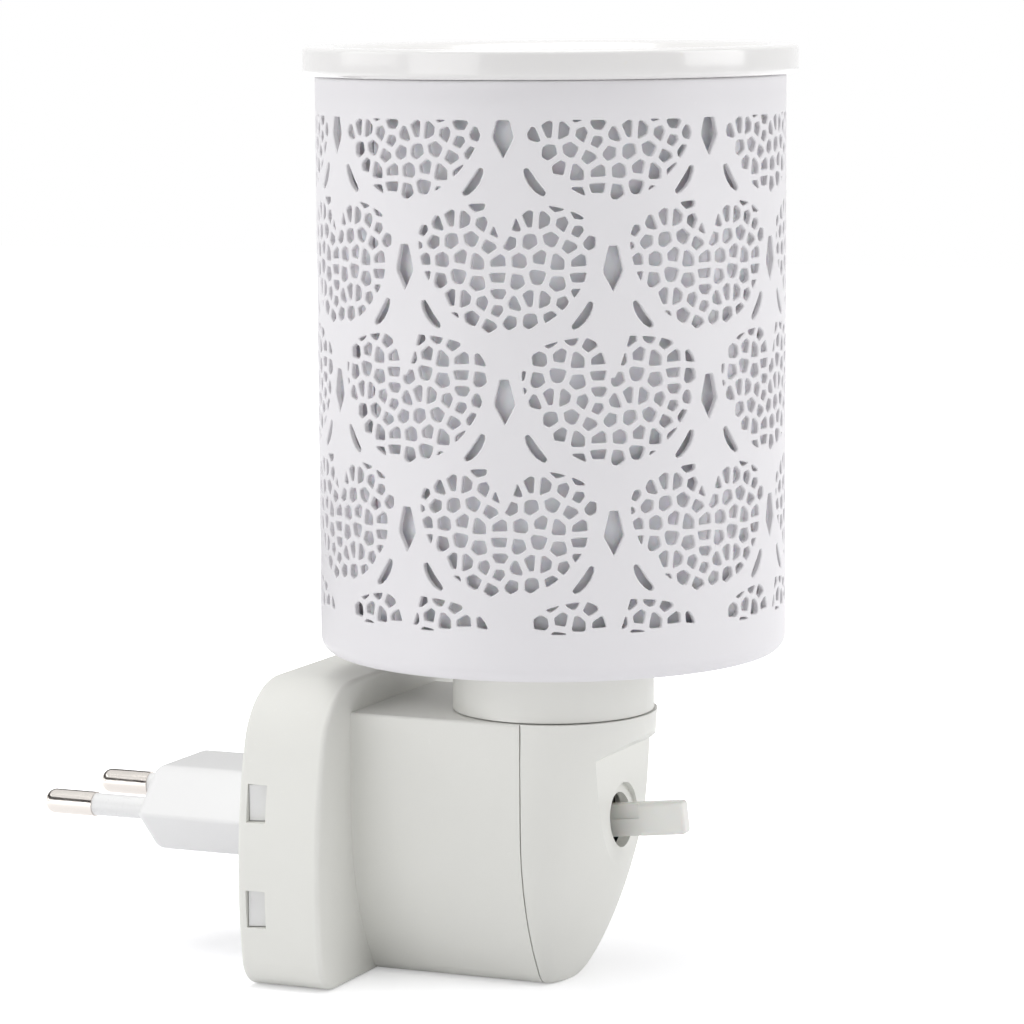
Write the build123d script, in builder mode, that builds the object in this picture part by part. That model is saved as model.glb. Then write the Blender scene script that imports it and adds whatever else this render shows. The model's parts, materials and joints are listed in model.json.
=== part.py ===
from build123d import *
import math
import os

os.makedirs("parts", exist_ok=True)

# Plug-in wax melt warmer. Millimetres, +Z up, +X away from the wall.
# The origin lies between the two pins, on the face where they leave the plug.

# Plug: pins, sleeves and the six-sided plug body
pin_spacing = 18.6
pin_diameter = 4.0
pin_length = 19.0
pin_tip_round = 1.7
pin_core_diameter = 3.0
sleeve_length = 10.0
sleeve_diameter = 3.6
sleeve_seat = 2.0
plug_length = 25.1
plug_ridge_width = 30.1
plug_flat_width = 16.6
plug_height = 13.7
plug_nose_round = 1.6
plug_ridge_round = 0.7
plug_flat_round = 4.0

# Wall plate and housings
plate_depth = 14.0
plate_width = 56.2
plate_top = 24.2
plate_widest_z = -6.0
plate_side_radius = 85.0
plate_top_corner = 12.0
plate_bottom_corner = 5.0
plate_edge_round = 0.8
floor_drop = 23.3
cover_thickness = 2.5
housing_wall = 2.0
body_length = 28.6
body_width = 32.2
body_top = 19.3
body_top_edge = 0.5
body_curve_start = 3.0
body_curve_radius = 45.0
body_bottom_round = 4.0
front_fullness = 1.5
toe_reserve = 1.6
front_levels = 14
toe_height = 7.3
seam_gap = 0.2

# Snap windows in the plate's skirt and the hooks that sit in them
window_setback = 1.5
window_width = 3.3
window_height = 5.9
window_heights = (6.1, -10.4)
hook_recess = 0.7
hook_slope = 1.1

# Switch recess and rotary switch
flat_depth = 4.4
ledge_drop = 5.9
ledge_slope = 0.65
ledge_wall = 1.2
switch_z = 2.4
switch_tilt = 6.5
switch_hole_diameter = 8.6
switch_rim_diameter = 11.6
switch_rim_depth = 0.4
switch_width = 11.0
switch_height = 10.0
switch_length = 8.0
switch_setback = 1.4
switch_rib = 1.5
rotor_diameter = 7.2
rotor_length = 5.4
key_root_height = 5.0
key_root_thickness = 2.2
key_root_length = 6.9
key_root_bead = 0.5
key_blade_height = 5.2
key_blade_thickness = 2.8
key_blade_length = 7.4
key_round = 0.7
key_tip_round = 0.6
tab_length = 5.0
tab_height = 4.0
tab_thickness = 0.8
tab_spacing = 6.0

# Lampholder, on the lamp axis
lamp_axis_back = 1.1
neck_diameter = 31.4
neck_gap = 0.2
shade_bottom = 29.0
waist_diameter = 21.0
flange_diameter = 24.0
flange_thickness = 2.1
thread_diameter = 28.0
thread_height = 21.0
thread_pitch = 2.0
thread_depth = 0.7
holder_bore_diameter = 15.8
holder_floor = 3.0
holder_recess_diameter = 16.0
carrier_height = 3.0
contact_disc_diameter = 6.4
contact_thickness = 0.8
stem_diameter = 2.2
stem_offset = 5.0
shell_diameter = 15.2
shell_wall = 0.4
shell_height = 18.0
shell_base_hole = 8.0
ring_diameter = 40.0
ring_height = 8.0
ring_grips = 16
ring_grip_diameter = 3.0

# Heating lamp with a small screw cap
cap_diameter = 13.7
cap_wall = 0.35
cap_length = 20.0
cap_ridges = 5
cap_pitch = 2.8
cap_ridge_depth = 0.6
tip_diameter = 5.6
tip_height = 1.8
insulator_height = 3.2
glass_diameter = 25.0
glass_wall = 0.7
glass_neck_diameter = 11.6
glass_height = 40.0
glass_shoulder = 9.0
lamp_stem_diameter = 5.0
lamp_stem_height = 14.0
filament_wire = 0.6
filament_span = 12.0
filament_rise = 10.0
filament_sag = 2.0

# Shade, film liner and dish
shade_diameter = 72.2
shade_height = 88.7
shade_wall = 0.8
shade_corner = 2.4
liner_diameter = 68.0
liner_wall = 0.4
liner_lift = 0.3
liner_top_gap = 4.7
liner_seam_angle = -118.0
liner_seam_width = 0.6
dish_diameter = 76.0
dish_rim_height = 4.4
dish_seat_gap = 0.1
dish_land = 4.5
dish_depth = 14.0
dish_wall = 3.0
dish_top_round = 1.6
dish_bottom_round = 1.0

# Pierced lattice: medallions, lozenges and crescents in staggered rows
repeats = 7
row_pitch = 19.5
row_count = 5
first_row = 2.8
row_angles = (-78.0, -52.3)
lattice_bottom_band = 7.4
lattice_top_band = 5.7
lozenge_height = 6.6
lozenge_width = 3.0
lozenge_top = 1.6
crescent_length = 4.7
crescent_width = 0.9
crescent_reach = 8.4
crescent_drop = 6.9
crescent_turn = 48.0
medallion_width = 27.2
medallion_height = 20.0
medallion_shoulder = 4.4
medallion_crown = 14.0
tongue_width = 3.4
tongue_depth = 6.2
cell_pitch = 7.8
cell_rib = 1.4
smallest_hole = 1.5

# Wiring and fasteners
wire_diameter = 2.2
wire_bend = 3.5
terminal_length = 7.2
terminal_size = 5.4
terminal_gap = 0.4
pin_tail_grip = 5.0
clamp_screw_diameter = 2.0
clamp_head_diameter = 3.2
clamp_head_height = 1.2
clamp_slot_length = 2.6
clamp_slot_width = 0.6
screw_spread = 20.0
screw_z = 9.0
screw_diameter = 2.5
screw_head_diameter = 5.2
screw_head_height = 2.0
screw_slot_length = 3.6
screw_slot_width = 0.8
screw_clamp = 5.5
screw_bite = 7.0
boss_diameter = 6.0
boss_well = 3.0

# Clearances
fit_gap = 0.15
press_gap = 0.05
run_gap = 0.3

# Places that follow from the sizes above
floor_z = -floor_drop
plate_back = plug_length
plate_front = plate_back + plate_depth
seam_x = plate_front + body_length
lamp_x = seam_x - lamp_axis_back
body_half = body_width / 2
inner_front = plate_front - housing_wall
front_tip = lamp_x + body_half
flat_x = front_tip - flat_depth
ledge_z = body_top - ledge_drop
window_x = plate_back + window_setback + window_width / 2
neck_bottom = body_top + neck_gap
flange_top = body_top - housing_wall - fit_gap
holder_bottom = flange_top - flange_thickness
carrier_bottom = neck_bottom + holder_floor
carrier_top = carrier_bottom + carrier_height
holder_top = shade_bottom + thread_height
tip_z = carrier_top + contact_thickness
cap_bottom = tip_z + tip_height + insulator_height
cap_top = cap_bottom + cap_length
glass_bottom = cap_top - glass_shoulder / 2
glass_top = cap_top + glass_height
shade_top = shade_bottom + shade_height
shade_radius = shade_diameter / 2
dish_bottom = shade_top + dish_seat_gap
dish_top = dish_bottom + dish_rim_height
dish_mouth = dish_diameter / 2 - dish_land
dish_sphere = (dish_mouth**2 + dish_depth**2) / (2 * dish_depth)
dish_centre_z = dish_top - dish_depth + dish_sphere
terminal_back = plate_back + cover_thickness + terminal_gap
tail_end = terminal_back + pin_tail_grip
boss_back = seam_x - screw_clamp - boss_well

lamp_plane = Plane.XZ.shift_origin((lamp_x, 0, 0))
switch_direction = (math.cos(math.radians(switch_tilt)), 0, math.sin(math.radians(switch_tilt)))
switch_plane = Plane((flat_x, 0, switch_z), x_dir=(0, 1, 0), z_dir=switch_direction)
switch_front = -(housing_wall + switch_setback)
switch_back = switch_front - switch_length


def finish(builder, name):
    """Name one finished piece and write it."""
    builder.part.label = name
    export_step(builder.part, f"parts/{name}.step")


def arc_drop(radius, reach):
    """How far an arc of this radius has fallen away at this reach."""
    return radius - math.sqrt(radius**2 - reach**2)


def plate_half(z):
    """Half width of the wall plate, whose sides are barrel arcs."""
    return plate_width / 2 - arc_drop(plate_side_radius, z - plate_widest_z)


def body_half_at(z):
    """Half width of the housing: upright above, drawn in along an arc below."""
    return body_half - arc_drop(body_curve_radius, max(0.0, body_curve_start - z))


def front_half_at(z):
    """Half width of the front shell, whose bottom edge is rounded as the housing's is."""
    corner_z = floor_z + body_bottom_round
    arc_z = body_curve_start - corner_z
    arc_inside = body_curve_radius - body_bottom_round
    if z > body_curve_start - arc_z * body_curve_radius / arc_inside:
        return body_half_at(z)
    corner_half = body_half - body_curve_radius + math.sqrt(arc_inside**2 - arc_z**2)
    return corner_half + math.sqrt(max(0.0, body_bottom_round**2 - (corner_z - z) ** 2))


def front_reach_at(z):
    """How far the front shell stands before the seam: a superellipse that rounds off at the toe."""
    fall = (body_top - z) / (body_top - floor_z + toe_reserve)
    return (body_half - lamp_axis_back) * (1 - fall**front_fullness) ** (1 / front_fullness)


def plate_face(x, inset):
    """The plate's barrel outline, set in from its edge, at this distance from the wall."""
    top, bottom = plate_top - inset, floor_z + inset
    top_half, wide_half = plate_half(top) - inset, plate_width / 2 - inset
    bottom_half = plate_half(bottom) - inset
    with BuildSketch(Plane.YZ.offset(x)) as outline:
        with BuildLine():
            Line((-bottom_half, bottom), (bottom_half, bottom))
            ThreePointArc((bottom_half, bottom), (wide_half, plate_widest_z), (top_half, top))
            Line((top_half, top), (-top_half, top))
            ThreePointArc((-top_half, top), (-wide_half, plate_widest_z), (-bottom_half, bottom))
        make_face()
        fillet(outline.vertices().group_by(Axis.Y)[-1], plate_top_corner - inset)
        fillet(outline.vertices().group_by(Axis.Y)[0], plate_bottom_corner - inset)
    return outline.sketch


def body_face(x, inset, edge):
    """The housing's cross-section, set in from its skin."""
    top, bottom = body_top - inset, floor_z + inset
    half, low_half = body_half - inset, body_half_at(bottom) - inset
    middle = (body_curve_start + bottom) / 2
    mid_half = body_half_at(middle) - inset
    with BuildSketch(Plane.YZ.offset(x)) as section:
        with BuildLine():
            Polyline((half, body_curve_start), (half, top), (-half, top), (-half, body_curve_start))
            ThreePointArc((-half, body_curve_start), (-mid_half, middle), (-low_half, bottom))
            Line((-low_half, bottom), (low_half, bottom))
            ThreePointArc((low_half, bottom), (mid_half, middle), (half, body_curve_start))
        make_face()
        fillet(section.vertices().group_by(Axis.Y)[-1], edge)
        fillet(section.vertices().group_by(Axis.Y)[0], body_bottom_round - inset)
    return section.sketch


def front_section(z, inset):
    """A level cut through the front shell: half an ellipse that starts a fine gap past the seam."""
    half, reach = front_half_at(z) - inset, front_reach_at(z) - inset
    back = seam_x + seam_gap
    with BuildSketch(Plane.XY.offset(z)) as section:
        with BuildLine():
            Line((back, half), (back, -half))
            EllipticalCenterArc((back, 0), reach - seam_gap, half, start_angle=-90, arc_size=90)
            EllipticalCenterArc((back, 0), reach - seam_gap, half, start_angle=0, arc_size=90)
        make_face()
    return section.sketch


def front_sections(low, high, inset):
    """Level cuts from high to low, closer together towards the toe."""
    quarter_steps = [math.pi / 2 * level / (front_levels - 1) for level in range(front_levels)]
    return [front_section(high - (high - low) * math.sin(step), inset) for step in quarter_steps]


# Rear housing: wall plate skirt and tunnel in one moulding
with BuildPart() as rear_housing:
    extrude(plate_face(plate_back, 0), amount=plate_depth)
    fillet(rear_housing.faces().sort_by(Axis.X)[0].edges(), plate_edge_round)
    fillet(rear_housing.faces().sort_by(Axis.X)[-1].edges(), plate_edge_round)
    extrude(body_face(plate_front, 0, body_top_edge), amount=body_length)
    extrude(plate_face(plate_back, housing_wall), amount=plate_depth - housing_wall, mode=Mode.SUBTRACT)
    extrude(
        body_face(inner_front, housing_wall, body_top_edge),
        amount=body_length + housing_wall,
        mode=Mode.SUBTRACT,
    )
    with BuildSketch(Plane.YZ.offset(boss_back)):
        for side in (-1, 1):
            with Locations((side * screw_spread / 2, screw_z)):
                Circle(boss_diameter / 2)
            rib_length = body_half - housing_wall / 2 - screw_spread / 2
            with Locations((side * (screw_spread + rib_length) / 2, screw_z)):
                Rectangle(rib_length, housing_wall)
    extrude(amount=seam_x - boss_back)
    with BuildSketch(Plane.YZ.offset(boss_back)):
        with Locations((-screw_spread / 2, screw_z), (screw_spread / 2, screw_z)):
            Circle(screw_diameter / 2 + fit_gap)
    extrude(amount=seam_x - boss_back, mode=Mode.SUBTRACT)
    with BuildSketch(Plane.YZ.offset(boss_back)):
        with Locations((-screw_spread / 2, screw_z), (screw_spread / 2, screw_z)):
            Circle(screw_head_diameter / 2 + fit_gap)
    extrude(amount=boss_well, mode=Mode.SUBTRACT)
    with Locations([(window_x, 0, z) for z in window_heights]):
        Box(window_width, plate_width * 2, window_height, mode=Mode.SUBTRACT)
    with Locations((lamp_x, 0, body_top - housing_wall / 2)):
        Cylinder(waist_diameter / 2 + fit_gap, housing_wall * 2, mode=Mode.SUBTRACT)
finish(rear_housing, "rear_housing")

# Hollow of the front shell, with the bosses and the switch ribs left standing in it
with BuildPart() as front_hollow:
    loft(front_sections(floor_z + toe_height, body_top - housing_wall, housing_wall))
    with BuildSketch(Plane.XZ.offset(-body_width)):
        hollow_front = flat_x - housing_wall
        with BuildLine():
            Polyline(
                (hollow_front, floor_z),
                (hollow_front, ledge_z + ledge_wall),
                (front_tip, ledge_z + ledge_wall),
                (front_tip, floor_z),
                close=True,
            )
        make_face()
    extrude(amount=2 * body_width, mode=Mode.SUBTRACT)
    with BuildSketch(Plane.YZ.offset(seam_x)):
        with Locations((-screw_spread / 2, screw_z), (screw_spread / 2, screw_z)):
            Circle(boss_diameter / 2)
    extrude(amount=body_half, mode=Mode.SUBTRACT)
    rib_place = switch_width / 2 + fit_gap + switch_rib / 2
    with Locations((flat_x, -rib_place, switch_z), (flat_x, rib_place, switch_z)):
        Box(switch_length * 2, switch_rib, switch_height, mode=Mode.SUBTRACT)

# Front shell with its flat for the switch, under a sloping ledge
with BuildPart() as front_housing:
    loft(front_sections(floor_z, body_top, 0))
    with BuildSketch(Plane.XZ.offset(-body_width)):
        ledge_top = ledge_z + ledge_slope * (front_tip + housing_wall - flat_x)
        with BuildLine():
            Polyline(
                (flat_x, floor_z - housing_wall),
                (flat_x, ledge_z),
                (front_tip + housing_wall, ledge_top),
                (front_tip + housing_wall, floor_z - housing_wall),
                close=True,
            )
        make_face()
    extrude(amount=2 * body_width, mode=Mode.SUBTRACT)
    add(front_hollow.part, mode=Mode.SUBTRACT)
    with BuildSketch(Plane.YZ.offset(seam_x)):
        with Locations((-screw_spread / 2, screw_z), (screw_spread / 2, screw_z)):
            Circle(boss_diameter / 2)
    extrude(amount=2 * seam_gap)
    with BuildSketch(Plane.YZ.offset(seam_x)):
        with Locations((-screw_spread / 2, screw_z), (screw_spread / 2, screw_z)):
            Circle(screw_diameter / 2 + press_gap)
    extrude(amount=screw_bite + run_gap, mode=Mode.SUBTRACT)
    with BuildSketch(switch_plane.offset(-2 * housing_wall)):
        Circle(switch_hole_diameter / 2)
    extrude(amount=4 * housing_wall, mode=Mode.SUBTRACT)
    with BuildSketch(switch_plane.offset(-switch_rim_depth)):
        Circle(switch_rim_diameter / 2)
    extrude(amount=housing_wall, mode=Mode.SUBTRACT)
    with Locations((lamp_x, 0, body_top - housing_wall / 2)):
        Cylinder(waist_diameter / 2 + fit_gap, housing_wall * 2, mode=Mode.SUBTRACT)
finish(front_housing, "front_housing")

# Screws that draw the front shell onto the rear housing
with BuildPart() as housing_screws:
    with BuildSketch(Plane.YZ.offset(seam_x - screw_clamp - screw_head_height)):
        with Locations((-screw_spread / 2, screw_z), (screw_spread / 2, screw_z)):
            Circle(screw_head_diameter / 2)
    extrude(amount=screw_head_height)
    with BuildSketch(Plane.YZ.offset(seam_x - screw_clamp)):
        with Locations((-screw_spread / 2, screw_z), (screw_spread / 2, screw_z)):
            Circle(screw_diameter / 2)
    extrude(amount=screw_clamp + screw_bite)
    with Locations([
        (seam_x - screw_clamp - screw_head_height, side * screw_spread / 2, screw_z) for side in (-1, 1)
    ]):
        Box(screw_head_height, screw_slot_width, screw_slot_length, mode=Mode.SUBTRACT)
        Box(screw_head_height, screw_slot_length, screw_slot_width, mode=Mode.SUBTRACT)
finish(housing_screws, "housing_screws")

# Plug body with the back cover that closes the plate, and its four hooks
with BuildPart() as plug_insert:
    with BuildSketch(Plane.YZ):
        with BuildLine():
            Polyline(
                (plug_ridge_width / 2, 0),
                (plug_flat_width / 2, plug_height / 2),
                (-plug_flat_width / 2, plug_height / 2),
                (-plug_ridge_width / 2, 0),
                (-plug_flat_width / 2, -plug_height / 2),
                (plug_flat_width / 2, -plug_height / 2),
                close=True,
            )
        make_face()
    extrude(amount=plug_length)
    flat_edges = plug_insert.edges().filter_by(Axis.X).group_by(Axis.Y)[1:3]
    fillet([edge for pair in flat_edges for edge in pair], plug_flat_round)
    long_edges = plug_insert.edges().filter_by(Axis.X).group_by(Axis.Y)
    fillet([long_edges[0][0], long_edges[-1][0]], plug_ridge_round)
    fillet(plug_insert.faces().sort_by(Axis.X)[0].edges(), plug_nose_round)
    extrude(plate_face(plate_back, housing_wall + fit_gap), amount=cover_thickness)
    for z in window_heights:
        hook_back = window_x - window_width / 2 + fit_gap
        hook_front = window_x + window_width / 2 - fit_gap
        hook_tip = plate_half(z) - hook_recess
        hook_root = plate_half(z) - 2 * housing_wall
        with BuildSketch(Plane.XY.offset(z - window_height / 2 + fit_gap)) as hook:
            with BuildLine():
                Polyline(
                    (hook_back, hook_root),
                    (hook_back, hook_tip),
                    (hook_front, hook_tip - hook_slope),
                    (hook_front, hook_root),
                    close=True,
                )
            make_face()
            mirror(hook.sketch, about=Plane.XZ)
        extrude(amount=window_height - 2 * fit_gap)
    for side in (-1, 1):
        with BuildSketch(Plane.YZ):
            with Locations((side * pin_spacing / 2, 0)):
                Circle(sleeve_diameter / 2 + press_gap)
        extrude(amount=sleeve_seat, mode=Mode.SUBTRACT)
        with BuildSketch(Plane.YZ):
            with Locations((side * pin_spacing / 2, 0)):
                Circle(pin_core_diameter / 2 + press_gap)
        extrude(amount=plug_length + cover_thickness, mode=Mode.SUBTRACT)
finish(plug_insert, "plug_insert")

# Pins: full size at the bare tip, thinner inside the sleeve and the plug
with BuildPart() as plug_pins:
    for side in (-1, 1):
        with BuildSketch(Plane.YZ.offset(-pin_length)):
            with Locations((side * pin_spacing / 2, 0)):
                Circle(pin_diameter / 2)
        extrude(amount=pin_length - sleeve_length)
        with BuildSketch(Plane.YZ.offset(-sleeve_length)):
            with Locations((side * pin_spacing / 2, 0)):
                Circle(pin_core_diameter / 2)
        extrude(amount=sleeve_length + tail_end)
    fillet(plug_pins.faces().group_by(Axis.X)[0].edges(), pin_tip_round)
finish(plug_pins, "plug_pins")

with BuildPart() as pin_sleeves:
    with BuildSketch(Plane.YZ.offset(-sleeve_length)):
        with Locations((-pin_spacing / 2, 0), (pin_spacing / 2, 0)):
            Circle(sleeve_diameter / 2)
            Circle(pin_core_diameter / 2 + press_gap / 2, mode=Mode.SUBTRACT)
    extrude(amount=sleeve_length + sleeve_seat)
finish(pin_sleeves, "pin_sleeves")

# Brass clamps on the pin tails, each with its screw
with BuildPart() as pin_terminals:
    for side in (-1, 1):
        with Locations((terminal_back + terminal_length / 2, side * pin_spacing / 2, 0)):
            Box(terminal_length, terminal_size, terminal_size)
        with BuildSketch(Plane.YZ.offset(terminal_back)):
            with Locations((side * pin_spacing / 2, 0)):
                Circle(pin_core_diameter / 2 + press_gap / 2)
        extrude(amount=pin_tail_grip, mode=Mode.SUBTRACT)
        with BuildSketch(Plane.YZ.offset(tail_end)):
            with Locations((side * pin_spacing / 2, 0)):
                Circle(wire_diameter / 2 + press_gap)
        extrude(amount=terminal_length, mode=Mode.SUBTRACT)
        with BuildSketch(Plane.XY):
            with Locations((terminal_back + pin_tail_grip / 2, side * pin_spacing / 2)):
                Circle(clamp_screw_diameter / 2 + press_gap)
        extrude(amount=terminal_size, mode=Mode.SUBTRACT)
finish(pin_terminals, "pin_terminals")

with BuildPart() as terminal_screws:
    clamp_places = [(terminal_back + pin_tail_grip / 2, side * pin_spacing / 2) for side in (-1, 1)]
    with BuildSketch(Plane.XY.offset(pin_core_diameter / 2 + press_gap)):
        with Locations(clamp_places):
            Circle(clamp_screw_diameter / 2)
    extrude(amount=(terminal_size - pin_core_diameter) / 2)
    with BuildSketch(Plane.XY.offset(terminal_size / 2 + press_gap)):
        with Locations(clamp_places):
            Circle(clamp_head_diameter / 2)
            Rectangle(clamp_slot_length, clamp_slot_width, mode=Mode.SUBTRACT)
    extrude(amount=clamp_head_height)
    with BuildSketch(Plane.XY.offset(terminal_size / 2 + press_gap)):
        with Locations(clamp_places):
            Circle(clamp_head_diameter / 2)
    extrude(amount=clamp_head_height / 2)
finish(terminal_screws, "terminal_screws")

# Rotary switch: case, solder tabs and the paddle key with its rotor
with BuildPart() as switch_body:
    with BuildSketch(switch_plane.offset(switch_back)):
        Rectangle(switch_width, switch_height)
    extrude(amount=switch_length)
    with BuildSketch(switch_plane.offset(switch_front)):
        Circle(rotor_diameter / 2 + run_gap)
    extrude(amount=-(rotor_length + 2 * run_gap), mode=Mode.SUBTRACT)
finish(switch_body, "switch_body")

with BuildPart() as switch_tabs:
    with BuildSketch(switch_plane.offset(switch_back - tab_length)):
        with Locations((-tab_spacing / 2, 0), (tab_spacing / 2, 0)):
            Rectangle(tab_thickness, tab_height)
    extrude(amount=tab_length)
finish(switch_tabs, "switch_tabs")

with BuildPart() as switch_key:
    rotor_front = switch_front - run_gap
    with BuildSketch(switch_plane.offset(rotor_front - rotor_length)):
        Circle(rotor_diameter / 2)
    extrude(amount=rotor_length)
    with BuildSketch(switch_plane.offset(rotor_front)):
        Rectangle(key_root_thickness, key_root_height)
        Rectangle(key_root_thickness + key_root_bead, key_root_bead)
    extrude(amount=key_root_length)
    with BuildSketch(switch_plane.offset(rotor_front + key_root_length)):
        RectangleRounded(key_blade_thickness, key_blade_height, key_round)
    extrude(amount=key_blade_length)
    blade_tip = switch_key.faces().sort_by(Axis.X)[-1]
    fillet(blade_tip.edges(), key_tip_round)
finish(switch_key, "switch_key")

# Lampholder: flange held under the housing's top, visible neck, threaded tube for the shade ring
with BuildPart() as lampholder:
    with BuildSketch(lamp_plane):
        with BuildLine():
            bore = holder_bore_diameter / 2
            Polyline(
                (holder_recess_diameter / 2, holder_bottom),
                (flange_diameter / 2, holder_bottom),
                (flange_diameter / 2, flange_top),
                (waist_diameter / 2, flange_top),
                (waist_diameter / 2, neck_bottom),
                (neck_diameter / 2, neck_bottom),
                (neck_diameter / 2, shade_bottom),
                (thread_diameter / 2, shade_bottom),
                (thread_diameter / 2, holder_top),
                (bore, holder_top),
                (bore, carrier_bottom),
                (0, carrier_bottom),
                (0, neck_bottom),
                (holder_recess_diameter / 2, neck_bottom),
                close=True,
            )
        make_face()
    revolve(axis=Axis((lamp_x, 0, 0), (0, 0, 1)))
    with Locations((lamp_x, 0, carrier_bottom), (lamp_x, stem_offset, carrier_bottom)):
        Cylinder(stem_diameter / 2 + fit_gap, 3 * holder_floor, mode=Mode.SUBTRACT)
    groove_count = int((thread_height - ring_height) / thread_pitch)
    with BuildSketch(lamp_plane):
        groove_places = [
            (thread_diameter / 2, holder_top - thread_pitch * (step + 1)) for step in range(groove_count)
        ]
        with Locations(groove_places):
            Rectangle(2 * thread_depth, thread_pitch / 2)
    revolve(axis=Axis((lamp_x, 0, 0), (0, 0, 1)), mode=Mode.SUBTRACT)
finish(lampholder, "lampholder")

# Ring that clamps the shade's base down on the neck
with BuildPart() as shade_ring:
    with BuildSketch(Plane.XY.offset(shade_bottom + shade_wall)):
        with Locations((lamp_x, 0)):
            Circle(ring_diameter / 2)
            Circle(thread_diameter / 2 + fit_gap, mode=Mode.SUBTRACT)
            with PolarLocations(ring_diameter / 2, ring_grips):
                Circle(ring_grip_diameter / 2, mode=Mode.SUBTRACT)
    extrude(amount=ring_height)
finish(shade_ring, "shade_ring")

# Socket contacts on their ceramic disc
with BuildPart() as contact_carrier:
    with BuildSketch(Plane.XY.offset(carrier_bottom)):
        with Locations((lamp_x, 0)):
            Circle(holder_bore_diameter / 2 - fit_gap)
        with Locations((lamp_x, 0), (lamp_x, stem_offset)):
            Circle(stem_diameter / 2 + fit_gap, mode=Mode.SUBTRACT)
    extrude(amount=carrier_height)
finish(contact_carrier, "contact_carrier")

stem_bottom = (holder_bottom + neck_bottom) / 2
with BuildPart() as centre_contact:
    with BuildSketch(Plane.XY.offset(stem_bottom)):
        with Locations((lamp_x, 0)):
            Circle(stem_diameter / 2)
    extrude(amount=carrier_top - stem_bottom)
    with BuildSketch(Plane.XY.offset(carrier_top)):
        with Locations((lamp_x, 0)):
            Circle(contact_disc_diameter / 2)
    extrude(amount=contact_thickness)
finish(centre_contact, "centre_contact")

with BuildPart() as thread_shell:
    with BuildSketch(Plane.XY.offset(stem_bottom)):
        with Locations((lamp_x, stem_offset)):
            Circle(stem_diameter / 2)
    extrude(amount=carrier_top - stem_bottom)
    with BuildSketch(Plane.XY.offset(carrier_top)):
        with Locations((lamp_x, 0)):
            Circle(shell_diameter / 2)
            Circle(shell_base_hole / 2, mode=Mode.SUBTRACT)
    extrude(amount=shell_wall)
    with BuildSketch(Plane.XY.offset(carrier_top)):
        with Locations((lamp_x, 0)):
            Circle(shell_diameter / 2)
            Circle(shell_diameter / 2 - shell_wall, mode=Mode.SUBTRACT)
    extrude(amount=shell_height)
finish(thread_shell, "thread_shell")

# Lamp: solder tip, insulator, screw cap, glass, stem and filament
with BuildPart() as bulb_contact:
    with BuildSketch(lamp_plane):
        with BuildLine():
            Polyline(
                (tip_diameter / 2, tip_z + tip_height),
                (0, tip_z + tip_height),
                (0, tip_z),
                (tip_diameter / 4, tip_z),
            )
            Line((tip_diameter / 4, tip_z), (tip_diameter / 2, tip_z + tip_height))
        make_face()
    revolve(axis=Axis((lamp_x, 0, 0), (0, 0, 1)))
finish(bulb_contact, "bulb_contact")

with BuildPart() as bulb_insulator:
    with BuildSketch(lamp_plane):
        with BuildLine():
            Polyline(
                (0, tip_z + tip_height),
                (tip_diameter / 2 + press_gap, tip_z + tip_height),
                (cap_diameter / 2 - cap_ridge_depth, cap_bottom),
                (0, cap_bottom),
                close=True,
            )
        make_face()
    revolve(axis=Axis((lamp_x, 0, 0), (0, 0, 1)))
finish(bulb_insulator, "bulb_insulator")

with BuildPart() as bulb_cap:
    with BuildSketch(lamp_plane):
        low_radius = cap_diameter / 2 - cap_ridge_depth
        with BuildLine():
            Polyline(
                (0, cap_bottom),
                (low_radius, cap_bottom),
                (low_radius, cap_top),
                (low_radius - cap_wall, cap_top),
                (low_radius - cap_wall, cap_bottom + cap_wall),
                (0, cap_bottom + cap_wall),
                close=True,
            )
        make_face()
        ridge_places = [
            (low_radius - cap_wall, cap_bottom + cap_pitch * (ridge + 1)) for ridge in range(cap_ridges)
        ]
        with Locations(ridge_places):
            Rectangle(cap_wall + cap_ridge_depth, cap_pitch / 2, align=(Align.MIN, Align.CENTER))
    revolve(axis=Axis((lamp_x, 0, 0), (0, 0, 1)))
finish(bulb_cap, "bulb_cap")

with BuildPart() as bulb_glass:
    with BuildSketch(lamp_plane):
        neck_half, glass_half = glass_neck_diameter / 2, glass_diameter / 2
        shoulder_z, crown_z = cap_top + glass_shoulder, glass_top - glass_half
        inner_neck, inner_half = neck_half - glass_wall, glass_half - glass_wall
        with BuildLine():
            Line((neck_half, glass_bottom), (neck_half, cap_top))
            Line((neck_half, cap_top), (glass_half, shoulder_z))
            Line((glass_half, shoulder_z), (glass_half, crown_z))
            RadiusArc((glass_half, crown_z), (0, glass_top), -glass_half)
            Line((0, glass_top), (0, glass_top - glass_wall))
            RadiusArc((inner_half, crown_z), (0, glass_top - glass_wall), -inner_half)
            Line((inner_half, crown_z), (inner_half, shoulder_z))
            Line((inner_half, shoulder_z), (inner_neck, cap_top))
            Line((inner_neck, cap_top), (inner_neck, glass_bottom))
            Line((inner_neck, glass_bottom), (neck_half, glass_bottom))
        make_face()
    revolve(axis=Axis((lamp_x, 0, 0), (0, 0, 1)))
finish(bulb_glass, "bulb_glass")

stem_top = glass_bottom + lamp_stem_height
with BuildPart() as bulb_stem:
    with BuildSketch(Plane.XY.offset(glass_bottom)):
        with Locations((lamp_x, 0)):
            Circle(glass_neck_diameter / 2 - glass_wall - fit_gap)
    extrude(amount=glass_wall)
    with BuildSketch(Plane.XY.offset(glass_bottom)):
        with Locations((lamp_x, 0)):
            Circle(lamp_stem_diameter / 2)
    extrude(amount=lamp_stem_height)
finish(bulb_stem, "bulb_stem")

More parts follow.
